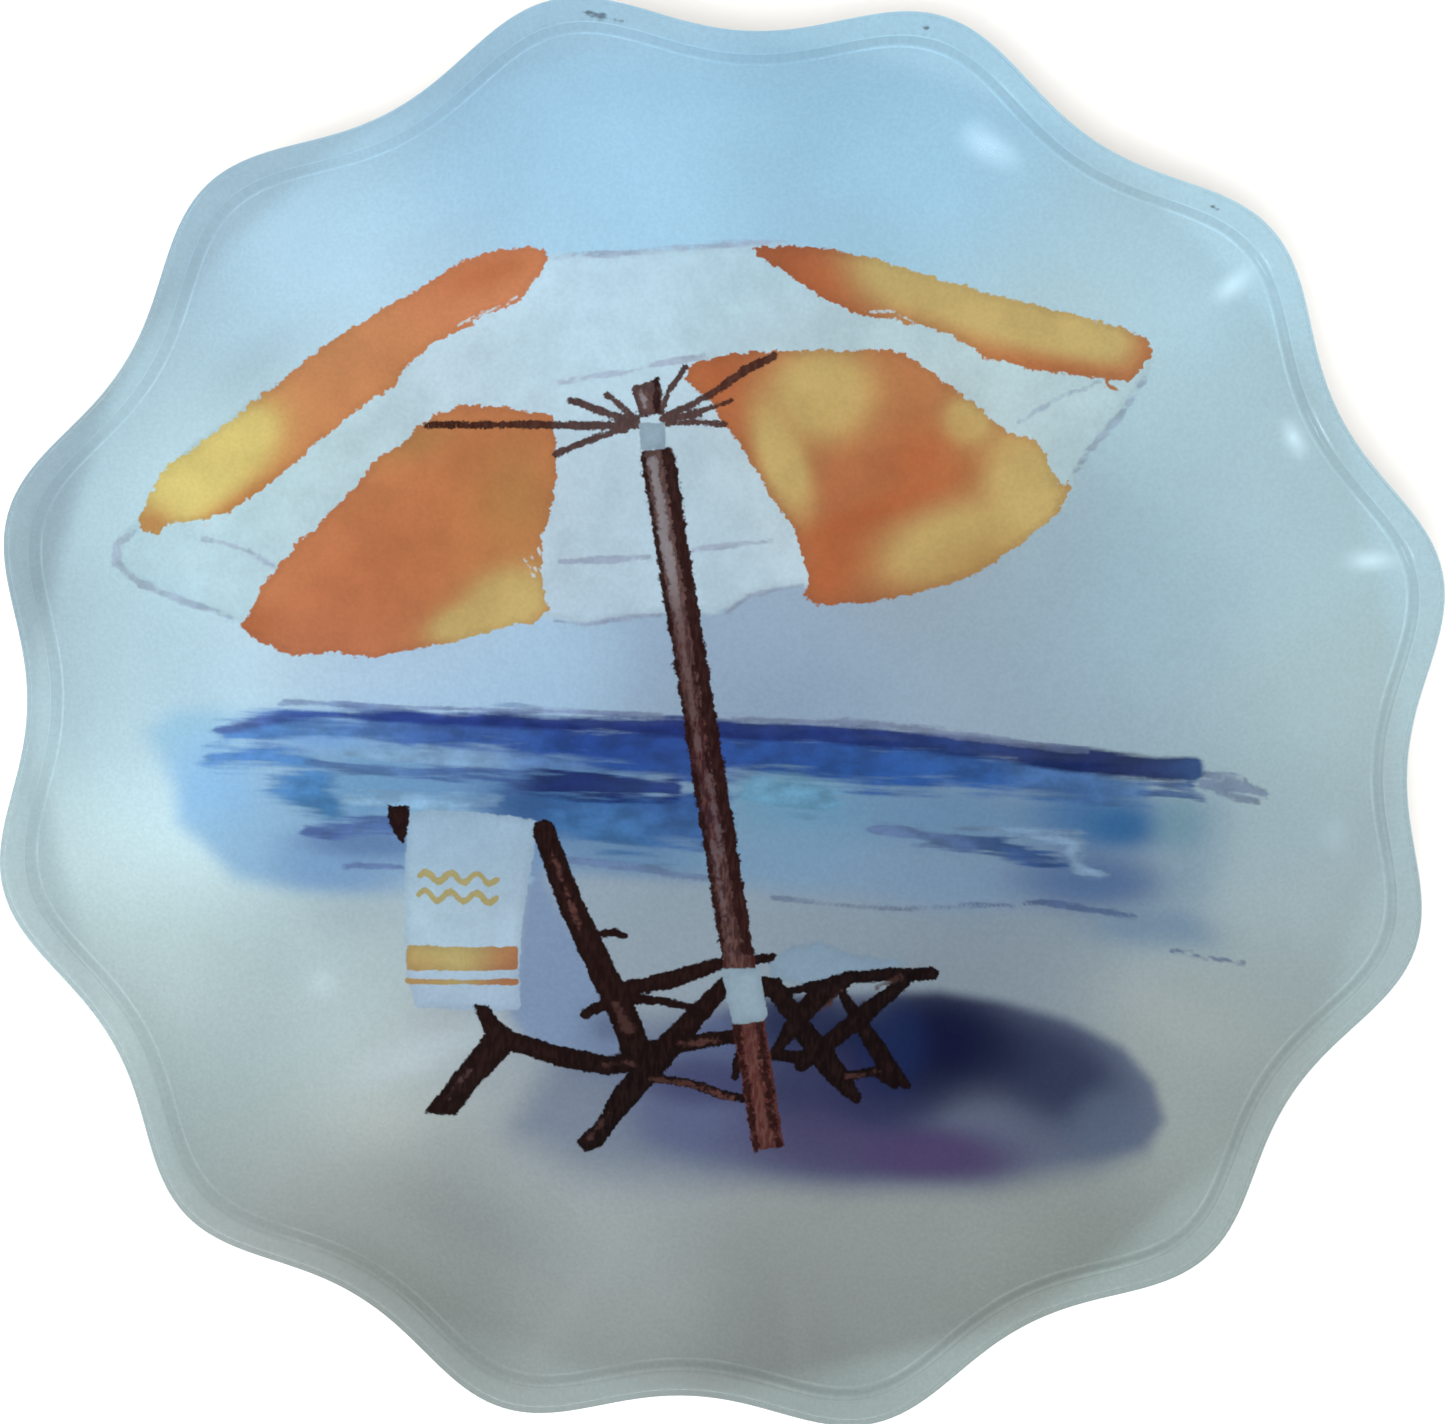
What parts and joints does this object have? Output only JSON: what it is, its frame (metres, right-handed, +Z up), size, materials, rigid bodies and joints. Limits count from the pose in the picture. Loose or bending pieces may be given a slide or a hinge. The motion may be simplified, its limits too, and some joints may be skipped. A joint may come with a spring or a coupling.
{
  "type": "souvenir plate",
  "caption": "Scalloped clear-glass souvenir plate with a painted beach print glued under the glass, lying flat on small bumpers.",
  "frame": {"origin": "on the table under the centre of the plate, at the height of the bumper feet's flat faces", "axes": "+Z up out of the well, +Y towards the top of the painted scene, +X towards its right side"},
  "size_m": [0.1968, 0.1968, 0.0174],
  "materials": {
    "clear_glass": "fire-polished clear pressed glass",
    "printed_paper": "matte textured paper with a watercolour print",
    "sealed_paper": "off-white paper under a satin sealer",
    "clear_rubber": "milky clear soft bumper"
  },
  "bodies": {
    "root": {"glass_plate": "clear_glass", "art_print": "printed_paper", "backing_sheet": "sealed_paper", "foot_1": "clear_rubber", "foot_2": "clear_rubber", "foot_3": "clear_rubber", "foot_4": "clear_rubber"}
  },
  "joints": []
}
